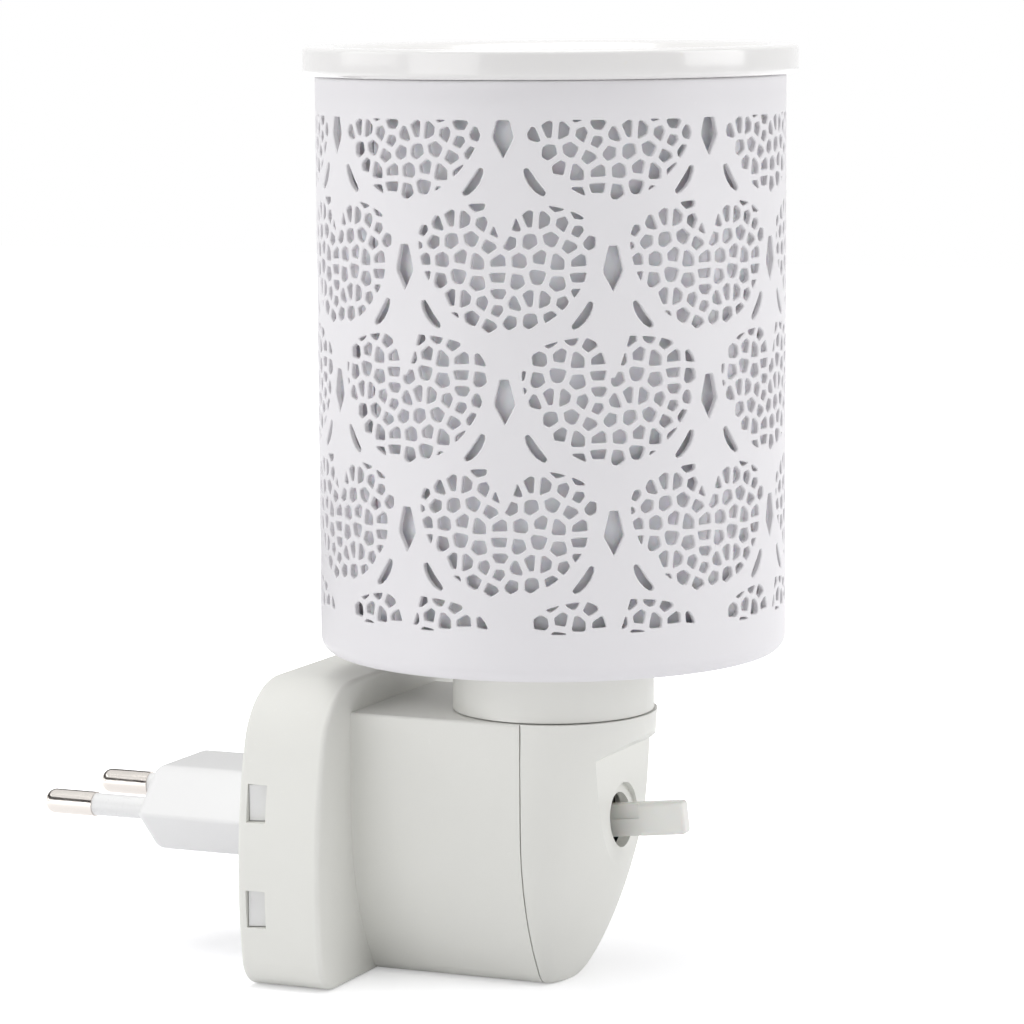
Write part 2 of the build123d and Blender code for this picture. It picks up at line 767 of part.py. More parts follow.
with BuildPart() as filament:
    foot, span = lamp_stem_diameter / 4, filament_span / 2
    with BuildLine() as filament_path:
        Polyline(
            (lamp_x, -foot, stem_top),
            (lamp_x, -span, stem_top + filament_rise),
            (lamp_x, 0, stem_top + filament_rise - filament_sag),
            (lamp_x, span, stem_top + filament_rise),
            (lamp_x, foot, stem_top),
        )
    with BuildSketch(filament_path.line ^ 0):
        Circle(filament_wire / 2)
    sweep(transition=Transition.RIGHT)
    split(bisect_by=Plane.XY.offset(stem_top), keep=Keep.TOP)
finish(filament, "filament")

# Pierced lattice, made round an axis at the origin for one repeat and turned round the shade
lattice_low = shade_bottom + lattice_bottom_band
lattice_high = shade_top - lattice_top_band


def facing_plane(angle, z):
    """A plane square to the shade's radius at this angle, just inside the wall's chord."""
    turn = math.radians(angle)
    outward = (math.cos(turn), math.sin(turn), 0)
    depth = math.sqrt(shade_radius**2 - (medallion_width / 2) ** 2) - 2 * shade_wall
    sideways = (-math.sin(turn), math.cos(turn), 0)
    return Plane((0, 0, z), x_dir=sideways, z_dir=outward).offset(depth)


def small_motifs(angle, z):
    """A lozenge with its two crescents below."""
    with BuildSketch(facing_plane(angle, z)) as motifs:
        top, low = lozenge_height / 2, -lozenge_height / 2
        with BuildLine():
            Polyline(
                (0, low),
                (lozenge_width / 2, 0),
                (lozenge_top / 2, top),
                (-lozenge_top / 2, top),
                (-lozenge_width / 2, 0),
                close=True,
            )
        make_face()
        for side in (-1, 1):
            with Locations((side * crescent_reach / 2, -crescent_drop)):
                SlotOverall(crescent_length, crescent_width, rotation=-side * crescent_turn)
    return motifs.sketch.faces()


def medallion(angle, z):
    """A two-lobed medallion filled with six-sided cells."""
    half, tall = medallion_width / 2, medallion_height / 2
    with BuildSketch(facing_plane(angle, z)) as motif:
        with BuildLine() as side:
            TangentArc((0, -tall), (half, medallion_shoulder), tangent=(1, 0))
            TangentArc((half, medallion_shoulder), (medallion_crown / 2, tall), tangent=(0, 1))
            Line((medallion_crown / 2, tall), (0, tall))
            mirror(side.line, about=Plane.YZ)
        make_face()
        with BuildLine():
            Polyline(
                (-tongue_width / 2, tall),
                (tongue_width / 2, tall),
                (0, tall - tongue_depth),
                close=True,
            )
        make_face(mode=Mode.SUBTRACT)
        cell_row = cell_pitch * math.sin(math.radians(60))
        columns = math.ceil(medallion_width / cell_pitch) + 1
        rows = math.ceil(medallion_height / cell_row) + 1
        with BuildSketch(mode=Mode.INTERSECT):
            with HexLocations(cell_pitch / 2, columns, rows):
                RegularPolygon((cell_pitch - cell_rib) / 2, 6, major_radius=False, rotation=30)
    return motif.sketch.faces()


with BuildPart() as lattice:
    for row in range(row_count):
        row_z = shade_bottom + first_row + row * row_pitch
        row_angle = row_angles[row % 2]
        holes = small_motifs(row_angle, row_z) + medallion(row_angle + 180 / repeats, row_z)
        open_holes = [hole for hole in holes if hole.area > smallest_hole]
        extrude(open_holes, amount=shade_radius)
    with Locations((0, 0, (lattice_low + lattice_high) / 2)):
        Box(4 * shade_diameter, 4 * shade_diameter, lattice_high - lattice_low, mode=Mode.INTERSECT)

# Shade: thin drawn cup, pierced all round
with BuildPart() as shade:
    with BuildSketch(lamp_plane):
        inner_corner = shade_corner - shade_wall
        with BuildLine():
            hole = thread_diameter / 2 + fit_gap
            Line((hole, shade_bottom), (shade_radius - shade_corner, shade_bottom))
            RadiusArc(
                (shade_radius - shade_corner, shade_bottom),
                (shade_radius, shade_bottom + shade_corner),
                -shade_corner,
            )
            Polyline(
                (shade_radius, shade_bottom + shade_corner),
                (shade_radius, shade_top),
                (shade_radius - shade_wall, shade_top),
                (shade_radius - shade_wall, shade_bottom + shade_corner),
            )
            RadiusArc(
                (shade_radius - shade_corner, shade_bottom + shade_wall),
                (shade_radius - shade_wall, shade_bottom + shade_corner),
                -inner_corner,
            )
            Polyline(
                (shade_radius - shade_corner, shade_bottom + shade_wall),
                (hole, shade_bottom + shade_wall),
                (hole, shade_bottom),
            )
        make_face()
    revolve(axis=Axis((lamp_x, 0, 0), (0, 0, 1)))
    with Locations((lamp_x, 0, 0)):
        with PolarLocations(0, repeats):
            add(lattice.part, mode=Mode.SUBTRACT)
finish(shade, "shade")

# Film liner: a rolled sheet that stands in the shade, open at its seam
with BuildPart() as diffuser_liner:
    inner_corner = shade_corner - shade_wall
    corner_reach = max(0.0, liner_diameter / 2 - (shade_radius - shade_corner))
    liner_bottom = shade_bottom + shade_wall + arc_drop(inner_corner, corner_reach) + liner_lift
    liner_height = shade_top - liner_top_gap - liner_bottom
    with BuildSketch(Plane.XY.offset(liner_bottom)):
        with Locations((lamp_x, 0)):
            Circle(liner_diameter / 2)
            Circle(liner_diameter / 2 - liner_wall, mode=Mode.SUBTRACT)
            with PolarLocations(liner_diameter / 2, 1, start_angle=liner_seam_angle):
                Rectangle(4 * liner_wall, liner_seam_width, mode=Mode.SUBTRACT)
    extrude(amount=liner_height)
finish(diffuser_liner, "diffuser_liner")

# Dish: a shallow bowl hung from a broad rim
with BuildPart() as wax_dish:
    outer_sphere = dish_sphere + dish_wall
    under_reach = math.sqrt(outer_sphere**2 - (dish_centre_z - dish_bottom) ** 2)
    bowl_mid, under_mid = dish_mouth / 2, under_reach / 2
    with BuildSketch(lamp_plane) as dish_profile:
        with BuildLine():
            Polyline(
                (dish_mouth, dish_top),
                (dish_diameter / 2, dish_top),
                (dish_diameter / 2, dish_bottom),
                (under_reach, dish_bottom),
            )
            ThreePointArc(
                (under_reach, dish_bottom),
                (under_mid, dish_centre_z - math.sqrt(outer_sphere**2 - under_mid**2)),
                (0, dish_centre_z - outer_sphere),
            )
            Line((0, dish_centre_z - outer_sphere), (0, dish_centre_z - dish_sphere))
            ThreePointArc(
                (0, dish_centre_z - dish_sphere),
                (bowl_mid, dish_centre_z - math.sqrt(dish_sphere**2 - bowl_mid**2)),
                (dish_mouth, dish_top),
            )
        make_face()
        rim = dish_profile.vertices().group_by(Axis.X)[-1]
        fillet(rim.sort_by(Axis.Y)[-1], dish_top_round)
        rim = dish_profile.vertices().sort_by_distance((dish_diameter / 2, dish_bottom))[0]
        fillet(rim, dish_bottom_round)
    revolve(axis=Axis((lamp_x, 0, 0), (0, 0, 1)))
finish(wax_dish, "wax_dish")


def lead(points, name):
    """An insulated wire along straight runs joined by tangent bends."""
    with BuildPart() as wire:
        with BuildLine() as route:
            FilletPolyline(*points, radius=wire_bend)
        with BuildSketch(route.line ^ 0):
            Circle(wire_diameter / 2)
        sweep()
    finish(wire, name)


# Internal wires, each from one terminal to the next
tab_end = switch_plane.offset(switch_back - tab_length - run_gap).origin
wire_start = tail_end + run_gap
loom_z = (holder_bottom + screw_z) / 2 - wire_diameter / 4
tunnel_bend = inner_front + body_length / 4
tunnel_rise = inner_front + body_length / 2
lead(
    [
        (wire_start, -pin_spacing / 2, 0),
        (tunnel_bend, -pin_spacing / 2, 0),
        (tunnel_rise, -tab_spacing / 2, tab_end.Z),
        (tab_end.X, -tab_spacing / 2, tab_end.Z),
    ],
    "lead_live",
)
lead(
    [
        (tab_end.X, tab_spacing / 2, tab_end.Z),
        (tunnel_rise + wire_bend, tab_spacing / 2, tab_end.Z),
        (tunnel_rise, 0, loom_z),
        (lamp_x, 0, loom_z),
        (lamp_x, 0, stem_bottom - press_gap),
    ],
    "lead_switched",
)
lead(
    [
        (wire_start, pin_spacing / 2, 0),
        (tunnel_bend, pin_spacing / 2, 0),
        (tunnel_rise, stem_offset, loom_z),
        (lamp_x, stem_offset, loom_z),
        (lamp_x, stem_offset, stem_bottom - press_gap),
    ],
    "lead_neutral",
)
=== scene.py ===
# %% [markdown]
# # A plug-in wax melt warmer
# The real thing is a small wall lamp: a two-pin plug, a moulded housing with a paddle switch, a pierced
# metal shade round a heating lamp, and a loose glazed dish on top in which scented wax melts.
# The measured solids arrive as a fixed frame. This lesson gives them their finishes and remodels, as
# numpy surfaces, the pieces whose detail is too fine for the solids.

# %% Load the frame
import json

import bpy
import numpy as np
from mathutils import Matrix, Vector
from mathutils.geometry import delaunay_2d_cdt


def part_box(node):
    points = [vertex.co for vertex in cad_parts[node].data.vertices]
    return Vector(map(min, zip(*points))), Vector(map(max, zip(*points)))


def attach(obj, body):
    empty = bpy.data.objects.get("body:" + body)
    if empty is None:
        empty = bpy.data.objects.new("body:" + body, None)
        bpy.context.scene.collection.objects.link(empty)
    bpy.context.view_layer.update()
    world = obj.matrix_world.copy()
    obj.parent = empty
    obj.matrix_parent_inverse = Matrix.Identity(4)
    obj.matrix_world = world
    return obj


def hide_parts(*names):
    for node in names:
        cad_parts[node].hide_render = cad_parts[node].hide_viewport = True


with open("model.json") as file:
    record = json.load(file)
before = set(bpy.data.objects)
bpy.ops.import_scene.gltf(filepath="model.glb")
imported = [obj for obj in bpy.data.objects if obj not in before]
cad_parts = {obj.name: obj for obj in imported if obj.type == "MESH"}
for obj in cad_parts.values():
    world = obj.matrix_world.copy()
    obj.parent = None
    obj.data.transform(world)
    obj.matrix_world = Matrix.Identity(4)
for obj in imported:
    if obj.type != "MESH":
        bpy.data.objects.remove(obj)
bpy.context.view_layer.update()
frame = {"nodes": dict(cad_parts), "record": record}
print("nodes in the frame:", len(frame["nodes"]))

# %% [markdown]
# ## Places that everything hangs on
# Shapes below are written in millimetres, because that is how the real pieces are measured, and they
# become metres when a mesh is made. The lamp's axis and the main levels are read from the frame, so
# that each new surface sits exactly where its solid is.

# %% Read the main places
MM = 0.001


def node_limits(node):
    """The lowest and highest corners of a solid, in millimetres."""
    low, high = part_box(node)
    return np.array(low) / MM, np.array(high) / MM


shade_low, shade_high = node_limits("shade")
dish_low, dish_high = node_limits("wax_dish")
lamp_x = (dish_low[0] + dish_high[0]) / 2
floor_z = node_limits("rear_housing")[0][2]
print("lamp axis at x =", round(lamp_x, 2), "floor at z =", round(floor_z, 2))

# %% [markdown]
# ## The camera
# The photographer stood far off with a long lens, a little above the plug. The plug's pins are a
# standard size, so their picture fixes the distance, and a lens of about 150 mm gives the same mild
# perspective. The camera's axes are worked out from its azimuth, elevation and roll: that is clearer
# than three Euler angles.

# %% Set the camera
CAMERA_PLACE = (324.99, -604.21, 134.65)
CAMERA_LENS = 150.04
SENSOR_WIDTH = 36.0
AZIMUTH, ELEVATION, ROLL = np.radians((23.704, 7.332, -0.355))

backward = np.array([
    np.sin(AZIMUTH) * np.cos(ELEVATION),
    -np.cos(AZIMUTH) * np.cos(ELEVATION),
    np.sin(ELEVATION),
])
level_right = np.array([np.cos(AZIMUTH), np.sin(AZIMUTH), 0.0])
level_up = np.cross(backward, level_right)
right = level_right * np.cos(ROLL) + level_up * np.sin(ROLL)
up = level_up * np.cos(ROLL) - level_right * np.sin(ROLL)

lens = bpy.data.cameras.new("camera")
lens.lens = CAMERA_LENS
lens.sensor_fit = "HORIZONTAL"
lens.sensor_width = SENSOR_WIDTH
lens.clip_end = 100.0
camera = bpy.data.objects.new("camera", lens)
bpy.context.scene.collection.objects.link(camera)
turned = Matrix(np.stack([right, up, backward], 1).tolist()).to_4x4()
camera.matrix_world = Matrix.Translation(Vector(CAMERA_PLACE) * MM) @ turned
bpy.context.scene.camera = camera
bpy.context.scene.view_settings.view_transform = "Standard"
print("camera stands", round(np.linalg.norm(CAMERA_PLACE)), "mm from the plug")

# %% [markdown]
# ## Helpers for meshes
# A turned surface is a grid of points: rows along its profile, columns round the lamp's axis. One helper
# turns the profile, one joins the rows into quads, and one puts points and faces into a mesh. Faces are
# shaded smooth except across edges that bend by more than a set angle, so that walls look even and cut
# edges stay crisp.

# %% Mesh helpers
COLUMNS = 252
SHARP_BEND = np.radians(40.0)


def lathe(profile):
    """Turn a profile of (radius, height) about the lamp's axis: x = r cos t, y = r sin t, z = height."""
    turn = 2 * np.pi * np.arange(COLUMNS) / COLUMNS
    radius, height = profile[:, :1], profile[:, 1:]
    across = np.broadcast_to(height, (len(profile), COLUMNS))
    return np.stack([lamp_x + radius * np.cos(turn), radius * np.sin(turn), across], -1)


def row_quads(numbers):
    """Quads between neighbouring rows of numbered points, closed round the lamp's axis."""
    after = np.roll(numbers, -1, 1)
    return np.stack([numbers[:-1], after[:-1], after[1:], numbers[1:]], -1).reshape(-1, 4)


def arc(centre, radius, start, end, steps):
    """Points of a round corner, centre + radius (cos t, sin t), from one angle in degrees to another."""
    turn = np.radians(np.linspace(start, end, steps))
    return np.stack([centre[0] + radius * np.cos(turn), centre[1] + radius * np.sin(turn)], -1)


def make_piece(name, points, faces, finish, body, replaced):
    """Make a mesh of points in millimetres, give it its finish and let it ride on a body."""
    mesh = bpy.data.meshes.new(name)
    mesh.from_pydata((points.reshape(-1, 3) * MM).tolist(), [], faces)
    mesh.validate()
    mesh.shade_smooth()
    mesh.set_sharp_from_angle(angle=SHARP_BEND)
    mesh.materials.append(finish)
    piece = bpy.data.objects.new(name, mesh)
    bpy.context.scene.collection.objects.link(piece)
    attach(piece, body)
    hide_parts(*replaced)
    print(name, "has", len(mesh.vertices), "points and", len(mesh.polygons), "faces")


# %% [markdown]
# ## The studio
# The photograph is a cut-out on white with a soft shadow under the housing. The floor is pale and
# takes shadows near the object; for the camera it also glows a little, more with distance, so that it
# runs out into plain white. Four large soft lamps stand above, to the left, in front and to the right,
# and the world fills in evenly. A few hard spots would be brighter, but they would draw shadows that the
# photograph doesn't have. Together they are at a level where a colour renders about as it is written.

# %% Floor, world and lamps
FLOOR_SIZE, FLOOR_DROP = 3000.0, 0.05
FLOOR_TINT = (0.90, 0.90, 0.915, 1.0)
GLOW_MIDDLE = (50.0, 0.0)
GLOW_NEAR, GLOW_FAR, GLOW_LEAST = 60.0, 260.0, 0.36
WHITE = (1.0, 1.0, 1.0, 1.0)


def new_material(name):
    """A material with an empty node tree and its output."""
    material = bpy.data.materials.new(name)
    material.use_nodes = True
    tree = material.node_tree
    tree.nodes.clear()
    output = tree.nodes.new("ShaderNodeOutputMaterial")
    return material, tree, output


def ray_share(tree):
    """One for rays that show the background itself: camera, glossy and transmission rays."""
    path = tree.nodes.new("ShaderNodeLightPath")
    first = tree.nodes.new("ShaderNodeMath")
    first.operation = "MAXIMUM"
    second = tree.nodes.new("ShaderNodeMath")
    second.operation = "MAXIMUM"
    tree.links.new(path.outputs["Is Camera Ray"], first.inputs[0])
    tree.links.new(path.outputs["Is Glossy Ray"], first.inputs[1])
    tree.links.new(first.outputs[0], second.inputs[0])
    tree.links.new(path.outputs["Is Transmission Ray"], second.inputs[1])
    return second.outputs[0]


def floor_material():
    """Pale matt floor that glows to white away from the object."""
    material, tree, output = new_material("studio_floor")
    place = tree.nodes.new("ShaderNodeTexCoord")
    apart = tree.nodes.new("ShaderNodeVectorMath")
    apart.operation = "DISTANCE"
    apart.inputs[1].default_value = Vector((*GLOW_MIDDLE, floor_z)) * MM
    tree.links.new(place.outputs["Object"], apart.inputs[0])
    fade = tree.nodes.new("ShaderNodeMapRange")
    fade.interpolation_type = "SMOOTHSTEP"
    fade.inputs["From Min"].default_value = GLOW_NEAR * MM
    fade.inputs["From Max"].default_value = GLOW_FAR * MM
    fade.inputs["To Min"].default_value = GLOW_LEAST
    fade.inputs["To Max"].default_value = 1.0
    tree.links.new(apart.outputs["Value"], fade.inputs["Value"])
    seen = tree.nodes.new("ShaderNodeMath")
    seen.operation = "MULTIPLY"
    tree.links.new(fade.outputs["Result"], seen.inputs[0])
    tree.links.new(ray_share(tree), seen.inputs[1])
    glow = tree.nodes.new("ShaderNodeEmission")
    glow.inputs["Color"].default_value = WHITE
    tree.links.new(seen.outputs[0], glow.inputs["Strength"])
    matt = tree.nodes.new("ShaderNodeBsdfDiffuse")
    matt.inputs["Color"].default_value = FLOOR_TINT
    both = tree.nodes.new("ShaderNodeAddShader")
    tree.links.new(matt.outputs[0], both.inputs[0])
    tree.links.new(glow.outputs[0], both.inputs[1])
    tree.links.new(both.outputs[0], output.inputs["Surface"])
    return material


half = FLOOR_SIZE / 2
floor_mesh = bpy.data.meshes.new("floor")
floor_corners = np.array([(-half, -half), (half, -half), (half, half), (-half, half)])
floor_points = np.column_stack([floor_corners, np.full(4, floor_z - FLOOR_DROP)]) * MM
floor_mesh.from_pydata(floor_points.tolist(), [], [(0, 1, 2, 3)])
floor_mesh.materials.append(floor_material())
floor = bpy.data.objects.new("floor", floor_mesh)
bpy.context.scene.collection.objects.link(floor)

AMBIENT = 0.375
world = bpy.data.worlds.new("studio")
bpy.context.scene.world = world
world.use_nodes = True
sky = world.node_tree.nodes["Background"]
sky.inputs["Color"].default_value = WHITE
level = world.node_tree.nodes.new("ShaderNodeMapRange")
level.inputs["To Min"].default_value = AMBIENT
level.inputs["To Max"].default_value = 1.0
world.node_tree.links.new(ray_share(world.node_tree), level.inputs["Value"])
world.node_tree.links.new(level.outputs["Result"], sky.inputs["Strength"])

LAMPS_AIM = Vector((lamp_x, 0.0, 40.0))
SOFTBOXES = {
    "softbox_above": ((60.0, -40.0, 900.0), 900.0, 5.4),
    "softbox_left": ((-800.0, -350.0, 400.0), 700.0, 1.8),
    "softbox_front": ((-350.0, -850.0, 250.0), 600.0, 1.9),
    "softbox_right": ((900.0, 200.0, 350.0), 600.0, 2.9),
}
for name, (place, size, power) in SOFTBOXES.items():
    lamp = bpy.data.lights.new(name, "AREA")
    lamp.shape = "SQUARE"
    lamp.size = size * MM
    lamp.energy = power
    lamp_object = bpy.data.objects.new(name, lamp)
    bpy.context.scene.collection.objects.link(lamp_object)
    lamp_object.location = Vector(place) * MM
    towards = LAMPS_AIM - Vector(place)
    lamp_object.rotation_euler = towards.to_track_quat("-Z", "Y").to_euler()
print("softboxes:", ", ".join(SOFTBOXES))

# %% [markdown]
# ## A dark card for the pins
# Polished metal shows what stands round it, and in an all-white room it has no form. Photographers put
# strips of dark card just outside the picture, and the photographed pins do show a dark line along the
# middle and dark ends. Here a low strip is bent round the pins and is seen in reflections only.

# %% Bend the card round the pins
CARD_CENTRE, CARD_RADIUS = np.array((-8.0, 0.0)), 62.0
CARD_LOW, CARD_HIGH = 13.0, 40.0
CARD_START, CARD_END, CARD_COLUMNS = 75.0, 285.0, 32
CARD_TINT = (0.05, 0.045, 0.045, 1.0)

card_turn = np.radians(np.linspace(CARD_START, CARD_END, CARD_COLUMNS))
card_line = CARD_CENTRE + CARD_RADIUS * np.stack([np.cos(card_turn), np.sin(card_turn)], -1)
card_rows = [np.column_stack([card_line, np.full(CARD_COLUMNS, z)]) for z in (CARD_LOW, CARD_HIGH)]
card_first = np.arange(CARD_COLUMNS - 1)
card_low = np.stack([card_first, card_first + 1], -1)
card_quads = np.concatenate([card_low, card_low[:, ::-1] + CARD_COLUMNS], -1)
card_mesh = bpy.data.meshes.new("dark_card")
card_mesh.from_pydata((np.concatenate(card_rows) * MM).tolist(), [], card_quads.tolist())
card_material, card_tree, card_output = new_material("dark_card")
card_matt = card_tree.nodes.new("ShaderNodeBsdfDiffuse")
card_matt.inputs["Color"].default_value = CARD_TINT
card_tree.links.new(card_matt.outputs[0], card_output.inputs["Surface"])
card_mesh.materials.append(card_material)
card = bpy.data.objects.new("dark_card", card_mesh)
bpy.context.scene.collection.objects.link(card)
card.visible_camera = card.visible_diffuse = card.visible_transmission = card.visible_shadow = False
print("dark card:", len(card_quads), "faces, seen in reflections only")

# %% [markdown]
# ## Shared effects
# Moulded plastic, powder paint, glaze and metal all vary a little over their surface. Two small node
# groups hold what they share. One gives a fine grain, as a mask and a height for bump. The other
# drifts slowly between two tints, as pigments and wall thickness do in real mouldings.

# %% Node groups for grain and drift
FINE_GRAIN, FINE_SHARE = 4.0, 0.4
GRAIN_LEAST, GRAIN_MOST = 0.3, 0.7
SPECK_START, SPECK_FULL = 0.74, 0.80


def group_socket(group, name, way, kind="NodeSocketFloat"):
    """Add a named input or output to a node group."""
    return group.interface.new_socket(name=name, in_out=way, socket_type=kind)


def grain_group():
    """Fine even grain: two noises, the second four times finer, mixed into one mask and one height."""
    group = bpy.data.node_groups.new("surface_grain", "ShaderNodeTree")
    group_socket(group, "Place", "INPUT", "NodeSocketVector")
    group_socket(group, "Scale", "INPUT")
    group_socket(group, "Low", "INPUT")
    group_socket(group, "High", "INPUT")
    group_socket(group, "Mask", "OUTPUT")
    group_socket(group, "Value", "OUTPUT")
    entry = group.nodes.new("NodeGroupInput")
    leave = group.nodes.new("NodeGroupOutput")
    coarse = group.nodes.new("ShaderNodeTexNoise")
    coarse.inputs["Detail"].default_value = 3.0
    finer = group.nodes.new("ShaderNodeMath")
    finer.operation = "MULTIPLY"
    finer.inputs[1].default_value = FINE_GRAIN
    fine = group.nodes.new("ShaderNodeTexNoise")
    fine.inputs["Detail"].default_value = 2.0
    mixed = group.nodes.new("ShaderNodeMix")
    mixed.inputs["Factor"].default_value = FINE_SHARE
    spread = group.nodes.new("ShaderNodeMapRange")
    group.links.new(entry.outputs["Place"], coarse.inputs["Vector"])
    group.links.new(entry.outputs["Place"], fine.inputs["Vector"])
    group.links.new(entry.outputs["Scale"], coarse.inputs["Scale"])
    group.links.new(entry.outputs["Scale"], finer.inputs[0])
    group.links.new(finer.outputs[0], fine.inputs["Scale"])
    group.links.new(coarse.outputs["Fac"], mixed.inputs["A"])
    group.links.new(fine.outputs["Fac"], mixed.inputs["B"])
    group.links.new(mixed.outputs["Result"], leave.inputs["Mask"])
    group.links.new(mixed.outputs["Result"], spread.inputs["Value"])
    spread.inputs["From Min"].default_value = GRAIN_LEAST
    spread.inputs["From Max"].default_value = GRAIN_MOST
    group.links.new(entry.outputs["Low"], spread.inputs["To Min"])
    group.links.new(entry.outputs["High"], spread.inputs["To Max"])
    group.links.new(spread.outputs["Result"], leave.inputs["Value"])
    return group


def drift_group():
    """Slow drift between two tints, with a few faint specks of a third."""
    group = bpy.data.node_groups.new("tint_drift", "ShaderNodeTree")
    group_socket(group, "Place", "INPUT", "NodeSocketVector")
    group_socket(group, "Scale", "INPUT")
    group_socket(group, "First", "INPUT", "NodeSocketColor")
    group_socket(group, "Second", "INPUT", "NodeSocketColor")
    group_socket(group, "Speck", "INPUT", "NodeSocketColor")
    group_socket(group, "Speck Scale", "INPUT")
    group_socket(group, "Colour", "OUTPUT", "NodeSocketColor")
    entry = group.nodes.new("NodeGroupInput")
    leave = group.nodes.new("NodeGroupOutput")
    slow = group.nodes.new("ShaderNodeTexNoise")
    slow.inputs["Detail"].default_value = 2.0
    tint = group.nodes.new("ShaderNodeMix")
    tint.data_type = "RGBA"
    dots = group.nodes.new("ShaderNodeTexNoise")
    dots.inputs["Detail"].default_value = 1.0
    rare = group.nodes.new("ShaderNodeMapRange")
    rare.inputs["From Min"].default_value = SPECK_START
    rare.inputs["From Max"].default_value = SPECK_FULL
    specked = group.nodes.new("ShaderNodeMix")
    specked.data_type = "RGBA"
    group.links.new(entry.outputs["Place"], slow.inputs["Vector"])
    group.links.new(entry.outputs["Place"], dots.inputs["Vector"])
    group.links.new(entry.outputs["Scale"], slow.inputs["Scale"])
    group.links.new(entry.outputs["Speck Scale"], dots.inputs["Scale"])
    group.links.new(slow.outputs["Fac"], tint.inputs["Factor"])
    group.links.new(entry.outputs["First"], tint.inputs[6])
    group.links.new(entry.outputs["Second"], tint.inputs[7])
    group.links.new(dots.outputs["Fac"], rare.inputs["Value"])
    group.links.new(rare.outputs["Result"], specked.inputs["Factor"])
    group.links.new(tint.outputs[2], specked.inputs[6])
    group.links.new(entry.outputs["Speck"], specked.inputs[7])
    group.links.new(specked.outputs[2], leave.inputs["Colour"])
    return group


SURFACE_GRAIN = grain_group()
TINT_DRIFT = drift_group()
print("shared effects:", SURFACE_GRAIN.name, "and", TINT_DRIFT.name)

# %% [markdown]
# ## Finishes
# Every finish is built by one function from its own tints, roughness range and grain, because the
# pieces differ in those and not in their nodes. The stretch of the grain turns it into brushing on
# drawn metal. What is the same all over a surface, such as coat or metallic, is set on the shader.

# %% Build the finishes
DRIFT_SLOWER = 60.0


def make_finish(name, tints, rough, grain, bump, stretch=(1, 1, 1), speck=None, speck_scale=900, **plain):
    """A procedural finish: tint drift into the colour, grain into roughness and bump."""
    material, tree, output = new_material(name)
    shader = tree.nodes.new("ShaderNodeBsdfPrincipled")
    tree.links.new(shader.outputs[0], output.inputs["Surface"])
    for socket, value in plain.items():
        shader.inputs[socket.replace("_", " ")].default_value = value
    place = tree.nodes.new("ShaderNodeTexCoord")
    mapping = tree.nodes.new("ShaderNodeMapping")
    mapping.inputs["Scale"].default_value = stretch
    tree.links.new(place.outputs["Object"], mapping.inputs["Vector"])
    drift = tree.nodes.new("ShaderNodeGroup")
    drift.node_tree = TINT_DRIFT
    drift.inputs["Scale"].default_value = grain / DRIFT_SLOWER
    drift.inputs["First"].default_value = (*tints[0], 1.0)
    drift.inputs["Second"].default_value = (*tints[1], 1.0)
    drift.inputs["Speck"].default_value = (*(speck or tints[1]), 1.0)
    drift.inputs["Speck Scale"].default_value = speck_scale
    surface = tree.nodes.new("ShaderNodeGroup")
    surface.node_tree = SURFACE_GRAIN
    surface.inputs["Scale"].default_value = grain
    surface.inputs["Low"].default_value = rough[0]
    surface.inputs["High"].default_value = rough[1]
    for node in (drift, surface):
        tree.links.new(mapping.outputs["Vector"], node.inputs["Place"])
    raised = tree.nodes.new("ShaderNodeBump")
    raised.inputs["Strength"].default_value = 1.0
    raised.inputs["Distance"].default_value = bump * MM
    tree.links.new(drift.outputs["Colour"], shader.inputs["Base Color"])
    tree.links.new(surface.outputs["Value"], shader.inputs["Roughness"])
    tree.links.new(surface.outputs["Mask"], raised.inputs["Height"])
    tree.links.new(raised.outputs["Normal"], shader.inputs["Normal"])
    return material


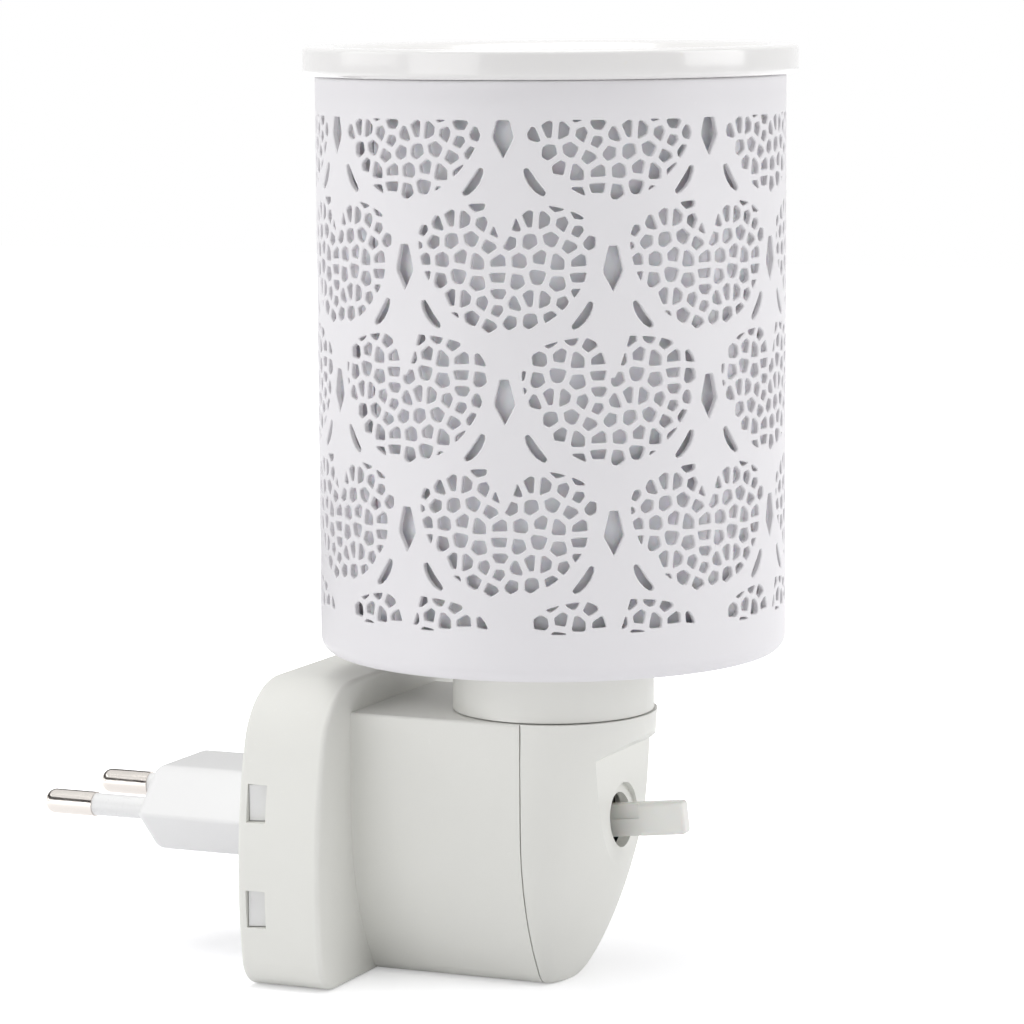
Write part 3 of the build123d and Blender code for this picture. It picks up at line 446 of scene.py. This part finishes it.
FINISHES = {
    "shade_paint": make_finish(
        "shade_paint", ((0.77, 0.758, 0.777), (0.795, 0.783, 0.80)), (0.42, 0.55), 2600, 0.012,
        Specular_IOR_Level=0.4,
    ),
    "dish_glaze": make_finish(
        "dish_glaze", ((0.765, 0.755, 0.747), (0.795, 0.785, 0.775)), (0.12, 0.22), 320, 0.03,
        speck=(0.78, 0.76, 0.72), speck_scale=420, Coat_Weight=0.5, Coat_Roughness=0.06,
    ),
    "liner_film": make_finish(
        "liner_film", ((0.935, 0.912, 0.95), (0.96, 0.938, 0.975)), (0.3, 0.5), 1500, 0.01,
        Subsurface_Weight=0.2, Subsurface_Scale=0.001,
    ),
    "housing_plastic": make_finish(
        "housing_plastic", ((0.775, 0.775, 0.735), (0.805, 0.805, 0.765)), (0.42, 0.58), 3200, 0.012,
        Specular_IOR_Level=0.4,
    ),
    "holder_plastic": make_finish(
        "holder_plastic", ((0.765, 0.765, 0.725), (0.795, 0.795, 0.755)), (0.42, 0.56), 3000, 0.01,
        Specular_IOR_Level=0.4,
    ),
    "plug_plastic": make_finish(
        "plug_plastic", ((0.82, 0.82, 0.818), (0.85, 0.85, 0.845)), (0.3, 0.45), 2400, 0.008,
    ),
    "sleeve_plastic": make_finish(
        "sleeve_plastic", ((0.82, 0.82, 0.82), (0.86, 0.86, 0.855)), (0.25, 0.35), 2000, 0.006,
    ),
    "key_plastic": make_finish(
        "key_plastic", ((0.785, 0.785, 0.75), (0.815, 0.815, 0.775)), (0.28, 0.42), 2600, 0.008,
        Subsurface_Weight=0.15, Subsurface_Scale=0.001,
    ),
    "pin_nickel": make_finish(
        "pin_nickel", ((0.66, 0.62, 0.58), (0.74, 0.70, 0.66)), (0.12, 0.26), 2400, 0.006,
        stretch=(0.08, 1, 1), Metallic=1.0,
    ),
    "contact_brass": make_finish(
        "contact_brass", ((0.72, 0.52, 0.25), (0.80, 0.62, 0.34)), (0.2, 0.38), 1800, 0.01,
        stretch=(0.2, 1, 1), Metallic=1.0,
    ),
    "screw_steel": make_finish(
        "screw_steel", ((0.56, 0.56, 0.57), (0.66, 0.66, 0.67)), (0.25, 0.4), 2200, 0.01, Metallic=1.0,
    ),
    "filament_metal": make_finish(
        "filament_metal", ((0.38, 0.37, 0.36), (0.48, 0.47, 0.46)), (0.3, 0.5), 4000, 0.005, Metallic=1.0,
    ),
    "lamp_cap": make_finish(
        "lamp_cap", ((0.70, 0.69, 0.66), (0.80, 0.79, 0.76)), (0.2, 0.36), 1500, 0.01,
        stretch=(1, 1, 0.2), Metallic=1.0,
    ),
    "solder": make_finish(
        "solder", ((0.52, 0.52, 0.54), (0.62, 0.62, 0.63)), (0.3, 0.5), 900, 0.03, Metallic=1.0,
    ),
    "black_glass": make_finish(
        "black_glass", ((0.02, 0.02, 0.022), (0.035, 0.035, 0.04)), (0.08, 0.2), 700, 0.01,
    ),
    "ceramic": make_finish(
        "ceramic", ((0.82, 0.80, 0.76), (0.86, 0.84, 0.80)), (0.5, 0.7), 1800, 0.02,
        speck=(0.62, 0.58, 0.52), speck_scale=700,
    ),
    "switch_case": make_finish(
        "switch_case", ((0.03, 0.03, 0.032), (0.05, 0.048, 0.045)), (0.4, 0.6), 2600, 0.012,
    ),
    "lead_brown": make_finish(
        "lead_brown", ((0.10, 0.04, 0.02), (0.14, 0.06, 0.03)), (0.3, 0.45), 1800, 0.008,
    ),
    "lead_blue": make_finish(
        "lead_blue", ((0.02, 0.06, 0.26), (0.03, 0.09, 0.32)), (0.3, 0.45), 1800, 0.008,
    ),
    "lamp_glass": make_finish(
        "lamp_glass", ((0.96, 0.97, 0.96), (0.98, 0.98, 0.97)), (0.01, 0.05), 500, 0.004,
        Transmission_Weight=1.0, IOR=1.45,
    ),
}
for entry in frame["record"]["subparts"]:
    shown = frame["nodes"][entry["node"]]
    shown.material_slots[0].material = FINISHES[entry["material_slot"]]
print("finishes:", len(FINISHES))

# %% [markdown]
# ## The shade's lattice, first on paper
# The shade is a sheet of steel, cut through and rolled into a cup. Staggered rows of heart-shaped
# medallions are filled with a mosaic of small holes; lozenges and crescents sit between them. A boolean
# with a thousand cutters would be slow and ragged. Instead each hole is an outline drawn on the unrolled
# sheet, in millimetres along the arc (u) and upward (v), and the sheet is then triangulated between the
# outlines. The mosaic grows from a small tile of seeds that repeats. Each of its holes is the set of
# points nearer to its own seed than to the others, less half a rib, and walking outwards from its middle
# until that depth is used up gives its outline. Few points are kept of each outline, most of them at its
# corners, so that the holes stay angular while the mesh stays light.

# %% Outlines of the holes
shade_radius = (shade_high[0] - shade_low[0]) / 2
SHADE_WALL = 0.8
PATTERN_REPEATS, PATTERN_ROWS = 7, 5
FIRST_ROW, ROW_STEP = 2.8, 19.5
ROW_TURNS = np.radians((-78.0, -52.3))
PLAIN_LOW, PLAIN_HIGH = 7.4, 5.7
row_heights = shade_low[2] + FIRST_ROW + ROW_STEP * np.arange(PATTERN_ROWS)
pattern_low, pattern_high = shade_low[2] + PLAIN_LOW, shade_high[2] - PLAIN_HIGH

OUTLINE_POINTS = 14
TILE = np.array((11.9, 11.6))
TILE_SEEDS = np.array([
    (-8.2, 7.4), (-6.0, 7.2), (-3.2, 6.6), (-1.0, 5.6), (1.6, 6.5), (-8.1, 3.9),
    (-4.8, 4.5), (-2.2, 3.2), (0.9, 4.0), (2.4, 1.3), (-6.6, 1.7), (-4.0, 1.1),
    (-0.9, 1.1), (2.0, -1.8), (-7.0, -1.0), (-4.0, -2.2), (-0.8, -1.2), (-0.8, -3.6),
])
TILE_SHIFTS = np.array([(-1.4, -6.5), (0.0, 0.0)])
TILES_AWAY = 2
SEED_REACH = np.array((17.0, 14.0))
SAMPLE_REACH, SAMPLE_STEP = (15.0, 11.0), 0.15
CELL_RIB = 0.92
CORNER_SHARPNESS = 11.0
SMALLEST_CELL = 1.1
LONGEST_WALK, WALK_STEPS, WALK_WAYS = 5.0, 70, 56
BEND_SHARE = 1.5
FAR_AWAY = 50.0

MEDALLION_RISE = 3.75
MEDALLION_HALF, CROWN_HEIGHT, BELLY_DEPTH = 13.6, 5.9, 13.5
CROWN_FULLNESS, BELLY_FULLNESS = 2.6, 1.8
TONGUE_TIP, TONGUE_HALF, TONGUE_FLARE = 3.4, 2.5, 0.75
LOZENGE_SIZE = np.array((1.62, 3.35))
LOZENGE_TOP, LOZENGE_WAIST, LOZENGE_MIDDLE = 0.68, -0.4, -0.6
CRESCENT_CENTRE = np.array((6.17, -2.8))
CRESCENT_RADIUS, CRESCENT_MIDDLE, CRESCENT_SPAN = 7.0, 36.4, 20.0
CRESCENT_HALF, CRESCENT_BLUNT = 0.66, 0.6

around = 2 * np.pi * np.arange(WALK_WAYS) / WALK_WAYS
circle = np.stack([np.cos(around), np.sin(around)], -1)


def smooth_least(depths):
    """Smooth minimum, -log(sum(exp(-k d))) / k: it rounds the corner where two limits meet."""
    return -np.log(np.exp(-CORNER_SHARPNESS * depths).sum(-1)) / CORNER_SHARPNESS


def medallion_depth(u, v):
    """Depth inside a heart: |u/a|^n + |v/b|^n = 1 with one n above and one below, less a narrow tongue."""
    rise = v - MEDALLION_RISE
    fullness = np.where(rise > 0, CROWN_FULLNESS, BELLY_FULLNESS)
    tall = np.where(rise > 0, CROWN_HEIGHT, BELLY_DEPTH)
    reach = (np.abs(u / MEDALLION_HALF) ** fullness + np.abs(rise / tall) ** fullness) ** (1 / fullness)
    edge = np.hypot(u, rise) * (1 / np.maximum(reach, 1e-6) - 1)
    above_tip = np.maximum(v - TONGUE_TIP, 0) / (MEDALLION_RISE + CROWN_HEIGHT - TONGUE_TIP)
    side = np.abs(u) - TONGUE_HALF * above_tip**TONGUE_FLARE
    tongue = np.hypot(np.maximum(side, 0), np.minimum(v - TONGUE_TIP, 0)) + np.minimum(side, 0)
    return np.minimum(edge, tongue)


def level_depths(points, lowest, highest):
    """Depths below the upper and above the lower edge of the pattern."""
    return np.stack([points[..., 1] - lowest, highest - points[..., 1]], -1)


def keep_corners(loops):
    """Keep a few points of each loop, closer together where it bends.

    An edge of length s that turns by t has the share s / sum(s) + BEND_SHARE t / sum(t), and the points
    that are kept stand at even steps of the running total of these shares.
    """
    ahead = np.roll(loops, -1, 1) - loops
    length = np.linalg.norm(ahead, axis=-1)
    heading = np.arctan2(ahead[..., 1], ahead[..., 0])
    bend = np.abs((heading - np.roll(heading, 1, 1) + np.pi) % (2 * np.pi) - np.pi)
    bend = bend + np.roll(bend, -1, 1)
    share = length / length.sum(-1, keepdims=True) + BEND_SHARE * bend / bend.sum(-1, keepdims=True)
    total = share.cumsum(-1)
    wanted = total[:, -1:] * (np.arange(OUTLINE_POINTS) + 0.5) / OUTLINE_POINTS
    edge = (total[:, None, :] < wanted[..., None]).sum(-1)
    left = (np.take_along_axis(total, edge, 1) - wanted) / np.take_along_axis(share, edge, 1)
    start = np.take_along_axis(loops, edge[..., None], 1)
    return start + (1 - left)[..., None] * np.take_along_axis(ahead, edge[..., None], 1)


def walk_outlines(centres, directions, depth):
    """Walk from each centre along each direction to the place where the depth falls to zero."""
    walk = np.linspace(0, LONGEST_WALK, WALK_STEPS)
    points = centres[:, None, None, :] + directions[None, :, None, :] * walk[:, None]
    found = depth(points)
    whole = found[:, 0, 0] > 0
    centres, found = centres[whole], found[whole]
    last = np.maximum((found < 0).argmax(-1), 1)[..., None]
    before = np.take_along_axis(found, last - 1, -1)[..., 0]
    after = np.take_along_axis(found, last, -1)[..., 0]
    reach = walk[last[..., 0] - 1] + walk[1] * before / (before - after)
    return keep_corners(centres[:, None, :] + directions * reach[..., None])


def mosaic_cells(lowest, highest, shift):
    """Outlines of one medallion's mosaic between two levels, from a tile of seeds that repeats."""
    away = np.arange(-TILES_AWAY, TILES_AWAY + 1)
    tiles = np.stack(np.meshgrid(away, away), -1).reshape(-1, 1, 2)
    seeds = (TILE_SEEDS + shift + tiles * TILE).reshape(-1, 2)
    seeds = seeds[(np.abs(seeds) < SEED_REACH).all(-1)]
    u, v = np.meshgrid(*(np.arange(-reach, reach, SAMPLE_STEP) for reach in SAMPLE_REACH))
    inside = (medallion_depth(u, v) > 0) & (v > lowest) & (v < highest)
    samples = np.stack([u[inside], v[inside]], -1)
    owner = ((samples[:, None] - seeds) ** 2).sum(-1).argmin(-1)
    area = np.bincount(owner, minlength=len(seeds)) * SAMPLE_STEP**2
    kept = area > SMALLEST_CELL
    sums = np.stack([np.bincount(owner, samples[:, axis], len(seeds)) for axis in (0, 1)], -1)
    centres = sums[kept] * SAMPLE_STEP**2 / area[kept, None]
    own = seeds[kept][:, None]
    length = np.linalg.norm(seeds - own, axis=-1)
    itself = length == 0
    length[itself] = 1.0
    side = ((seeds - own) / length[..., None])[:, None, None]
    halfway = 0.5 * ((seeds**2).sum(-1) - (own**2).sum(-1)) / length - CELL_RIB / 2
    halfway[itself] = FAR_AWAY
    halfway = halfway[:, None, None]

    def depth(points):
        """The least of the distances to the ribs, the medallion's edge and the pattern's levels."""
        ribs = halfway - (side * points[..., None, :]).sum(-1)
        edge = medallion_depth(points[..., 0], points[..., 1])[..., None]
        return smooth_least(np.concatenate([ribs, edge, level_depths(points, lowest, highest)], -1))

    return walk_outlines(centres, circle, depth)


def lozenge(lowest, highest):
    """Outline of a lozenge with a flat top: four slanting sides and a level one."""
    half, tall = LOZENGE_SIZE
    corners = np.array([(LOZENGE_TOP, tall), (half, LOZENGE_WAIST), (0.0, -tall)])
    run = corners[:-1] - corners[1:]
    outward = np.stack([run[:, 1], -run[:, 0]], -1) / np.linalg.norm(run, axis=-1, keepdims=True)
    reach = (outward * corners[1:]).sum(-1)

    def depth(points):
        """The least of the distances to the sides, mirrored left and right."""
        folded = np.stack([np.abs(points[..., 0]), points[..., 1]], -1)
        sides = reach - (folded[..., None, :] * outward).sum(-1)
        top = (tall - points[..., 1])[..., None]
        return np.concatenate([sides, top, level_depths(points, lowest, highest)], -1).min(-1)

    return walk_outlines(np.array([(0.0, LOZENGE_MIDDLE)]), circle * LOZENGE_SIZE / tall, depth)


def crescents():
    """Two crescents below a medallion: blunt ellipses bent along an arc that opens towards it."""
    bend = np.radians(-CRESCENT_MIDDLE - CRESCENT_SPAN * np.cos(around))
    across = np.sign(np.sin(around)) * np.abs(np.sin(around)) ** CRESCENT_BLUNT
    radius = CRESCENT_RADIUS + CRESCENT_HALF * across
    one = CRESCENT_CENTRE + np.stack([radius * np.cos(bend), radius * np.sin(bend)], -1)
    return keep_corners(np.stack([one, one[::-1] * (-1, 1)]))


row_holes = []
for row, height in enumerate(row_heights):
    levels = (max(pattern_low - height, -FAR_AWAY), min(pattern_high - height, FAR_AWAY))
    middle = shade_radius * (ROW_TURNS[row % 2] + np.pi / PATTERN_REPEATS)
    between = shade_radius * ROW_TURNS[row % 2]
    whole = [curve for curve in crescents() if curve[:, 1].min() > levels[0]]
    cells = mosaic_cells(*levels, TILE_SHIFTS[row % 2])
    motifs = [(cells, middle), (lozenge(*levels), between), (np.array(whole), middle)]
    row_holes += [shapes + (along, height) for shapes, along in motifs if len(shapes)]
one_repeat = np.concatenate(row_holes)
step_round = 2 * np.pi * shade_radius / PATTERN_REPEATS
shifts = step_round * np.arange(PATTERN_REPEATS)[:, None, None, None] * np.array((1.0, 0.0))
holes = (one_repeat + shifts).reshape(-1, OUTLINE_POINTS, 2)
print("holes in the shade:", len(holes))

# %% [markdown]
# ## The shade's lattice, triangulated without a seam
# A sheet that closes on itself has no edge to start from. Laid out as a flat ring, with the angle kept
# and the height h turned into a radius of exp(h / R), the whole cylinder fits in one plane and every
# small shape keeps its proportions. One constrained Delaunay triangulation of that ring fills the metal
# between the outlines. A triangle whose corners all lie on one hole, and run against that hole's turning
# sense (the ring shows the sheet from behind), covers the hole and is dropped; so is the disc inside the
# ring.

# %% Triangulate the ring
EDGE_ROUND = 0.14
RING_MARGIN = 0.9

onward = np.roll(holes, -1, 1) - np.roll(holes, 1, 1)
outward = np.stack([onward[..., 1], -onward[..., 0]], -1)
outward /= np.linalg.norm(outward, axis=-1, keepdims=True)
mouths = holes + EDGE_ROUND * outward

ring_arc = 2 * np.pi * shade_radius * np.arange(COLUMNS) / COLUMNS
low_ring = np.column_stack([ring_arc, np.full(COLUMNS, pattern_low - RING_MARGIN)])
high_ring = np.column_stack([ring_arc, np.full(COLUMNS, pattern_high + RING_MARGIN)])
sheet = np.concatenate([low_ring, high_ring, mouths.reshape(-1, 2)])

loop_numbers = np.arange(len(sheet) - 2 * COLUMNS).reshape(-1, OUTLINE_POINTS) + 2 * COLUMNS
ring_numbers = np.arange(2 * COLUMNS).reshape(2, COLUMNS)
hole_edges = np.stack([loop_numbers, np.roll(loop_numbers, -1, 1)], -1).reshape(-1, 2)
ring_edges = np.stack([ring_numbers, np.roll(ring_numbers, -1, 1)], -1).reshape(-1, 2)
spread = np.exp((sheet[:, 1] - pattern_low) / shade_radius)
turn = sheet[:, 0] / shade_radius
plane = np.column_stack([spread * np.cos(turn), spread * np.sin(turn)])
edges = np.concatenate([ring_edges, hole_edges])
flat = delaunay_2d_cdt(plane.tolist(), edges.tolist(), [], 0, 1e-6, False)
triangles = np.array(flat[2])
assert len(flat[0]) == len(sheet), "outlines cross each other"

owner = np.where(triangles < 2 * COLUMNS, -1, (triangles - 2 * COLUMNS) // OUTLINE_POINTS)
place_in_loop = (triangles - 2 * COLUMNS) % OUTLINE_POINTS
steps = (np.roll(place_in_loop, -1, 1) - place_in_loop) % OUTLINE_POINTS
same_hole = (owner[:, 0] >= 0) & (owner[:, 0] == owner[:, 1]) & (owner[:, 1] == owner[:, 2])
covers_hole = same_hole & (steps.sum(1) == 2 * OUTLINE_POINTS)
covers_disc = (triangles < COLUMNS).all(1)
metal = triangles[~covers_hole & ~covers_disc][:, ::-1]
print("metal triangles:", len(metal), "of", len(triangles))

# %% [markdown]
# ## The shade, rolled up
# The same triangles serve twice, on the outer face and, turned round, on the inner face of the sheet.
# Each outline becomes a wall between them, with a small slope at the mouth for the thick paint on a cut
# edge. The plain band at the top, the round corner and the base with its hole for the lampholder are
# turned on the lathe and share their first and last rows of points with the lattice, so the whole cup is
# one closed skin.

# %% Roll up the shade
SHADE_CORNER = 2.4
RIM_ROUND = 0.35
NECK_HOLE = 14.15
ROW_GAP, BASE_GAP = 0.2, 1.5
BAND_ROWS, RIM_ROWS, CORNER_ROWS, BASE_ROWS = 4, 5, 14, 6
shade_inner = shade_radius - SHADE_WALL


def roll(points, radius):
    """Wrap sheet points (arc s, height) round the lamp's axis: the turn is s / R, x = r cos, y = r sin."""
    turn = points[..., 0] / shade_radius
    return np.stack([lamp_x + radius * np.cos(turn), radius * np.sin(turn), points[..., 1]], -1)


def rows_between(first_row, rows, last_row, points, flip):
    """Add lathe rows between two rows of points that exist, and return the quads that join them."""
    start = sum(len(block) for block in points)
    points.append(lathe(rows).reshape(-1, 3))
    added = start + np.arange(len(rows) * COLUMNS).reshape(-1, COLUMNS)
    quads = row_quads(np.concatenate([first_row[None], added, last_row[None]]))
    return quads[:, ::-1] if flip else quads


rings_and_holes = np.concatenate([low_ring, high_ring, holes.reshape(-1, 2)])
blocks = [
    roll(sheet, shade_radius),
    roll(holes.reshape(-1, 2), shade_radius - EDGE_ROUND),
    roll(rings_and_holes, shade_inner),
]
throat_loops = loop_numbers - 2 * COLUMNS + len(sheet)
inner_start = len(sheet) + len(throat_loops) * OUTLINE_POINTS
inner_loops = loop_numbers + inner_start


def loop_walls(front, back):
    """Quads between two rings of hole outlines."""
    return np.stack([front, np.roll(front, -1, 1), np.roll(back, -1, 1), back], -1).reshape(-1, 4)


top, base = shade_high[2], shade_low[2]
band = np.linspace(pattern_high + 2 * RING_MARGIN, top - RIM_ROUND - ROW_GAP, BAND_ROWS)
top_rows = np.concatenate([
    np.column_stack([np.full(BAND_ROWS, shade_radius), band]),
    arc((shade_radius - RIM_ROUND, top - RIM_ROUND), RIM_ROUND, 0, 90, RIM_ROWS),
    arc((shade_inner + RIM_ROUND, top - RIM_ROUND), RIM_ROUND, 90, 180, RIM_ROWS),
    np.column_stack([np.full(BAND_ROWS, shade_inner), band[::-1]]),
])
corner_middle = (shade_radius - SHADE_CORNER, base + SHADE_CORNER)
inwards = np.linspace(corner_middle[0] - BASE_GAP, NECK_HOLE + BASE_GAP, BASE_ROWS)
base_rows = np.concatenate([
    arc(corner_middle, SHADE_CORNER, 0, -90, CORNER_ROWS),
    np.column_stack([inwards, np.full(BASE_ROWS, base)]),
    [(NECK_HOLE, base), (NECK_HOLE, base + SHADE_WALL)],
    np.column_stack([inwards[::-1], np.full(BASE_ROWS, base + SHADE_WALL)]),
    arc(corner_middle, SHADE_CORNER - SHADE_WALL, -90, 0, CORNER_ROWS),
])
low_numbers, high_numbers = ring_numbers
quads = [
    loop_walls(loop_numbers, throat_loops),
    loop_walls(throat_loops, inner_loops),
    rows_between(high_numbers, top_rows, high_numbers + inner_start, blocks, False),
    rows_between(low_numbers, base_rows, low_numbers + inner_start, blocks, True),
]
shade_faces = metal.tolist() + (metal[:, ::-1] + inner_start).tolist()
for block in quads:
    shade_faces += block.tolist()
make_piece(
    "pierced_shade", np.concatenate(blocks), shade_faces,
    FINISHES["shade_paint"], "warmer", ["shade"],
)

# %% [markdown]
# ## The dish
# The real dish is cast in slip and glazed: a shallow round bowl, a broad land and a thick rim. It could be
# the revolved solid itself, but glaze softens every edge by its own amount: it runs thin over the outer
# edge of the rim, and it fills the edge of the bowl. So the profile is written again with those edges and
# turned on the lathe. Bowl and underside are parts of spheres, r^2 + (z - c)^2 = R^2, and an arc that
# touches the land and meets the bowl's slope rounds the bowl's edge.

# %% Turn the dish
DISH_WALL, DISH_LAND, DISH_DEPTH = 3.0, 4.5, 14.0
SEAT_GAP = 0.1
RIM_TOP_ROUND, RIM_LOW_ROUND, LIP_ROUND = 0.75, 0.9, 2.5
LIP_GAP, POLE = 0.5, 0.3
UNDER_ROWS, RIM_LOW_ROWS, RIM_TOP_ROWS, LIP_ROWS, BOWL_ROWS = 20, 8, 9, 9, 24
dish_radius, dish_top = (dish_high[0] - dish_low[0]) / 2, dish_high[2]
dish_seat = shade_high[2] + SEAT_GAP
mouth = dish_radius - DISH_LAND
bowl_radius = (mouth**2 + DISH_DEPTH**2) / (2 * DISH_DEPTH)
bowl_centre = dish_top - DISH_DEPTH + bowl_radius


def sphere_rows(radius, start, end, steps):
    """Rows of a sphere about the bowl's centre, from one distance from the axis to another."""
    reach = np.linspace(start, end, steps)
    return np.stack([reach, bowl_centre - np.sqrt(radius**2 - reach**2)], -1)


lip_slope = np.degrees(np.arcsin(mouth / bowl_radius))
lip_run = LIP_ROUND * np.tan(np.radians(lip_slope / 2))
lip_middle = (mouth + lip_run, dish_top - LIP_ROUND)
lip = arc(lip_middle, LIP_ROUND, 90, 90 + lip_slope, LIP_ROWS)
rim_low_middle = (dish_radius - RIM_LOW_ROUND, dish_seat + RIM_LOW_ROUND)
rim_top_middle = (dish_radius - RIM_TOP_ROUND, dish_top - RIM_TOP_ROUND)
under_reach = np.sqrt((bowl_radius + DISH_WALL) ** 2 - (bowl_centre - dish_seat) ** 2)
dish_rows = np.concatenate([
    sphere_rows(bowl_radius + DISH_WALL, POLE, under_reach, UNDER_ROWS),
    arc(rim_low_middle, RIM_LOW_ROUND, -90, 0, RIM_LOW_ROWS),
    arc(rim_top_middle, RIM_TOP_ROUND, 0, 90, RIM_TOP_ROWS),
    lip,
    sphere_rows(bowl_radius, lip[-1, 0] - LIP_GAP, POLE, BOWL_ROWS),
])
dish_numbers = np.arange(len(dish_rows) * COLUMNS).reshape(-1, COLUMNS)
dish_caps = [dish_numbers[0, ::-1].tolist(), dish_numbers[-1].tolist()]
make_piece(
    "glazed_dish", lathe(dish_rows), row_quads(dish_numbers).tolist() + dish_caps,
    FINISHES["dish_glaze"], "dish", ["wax_dish"],
)
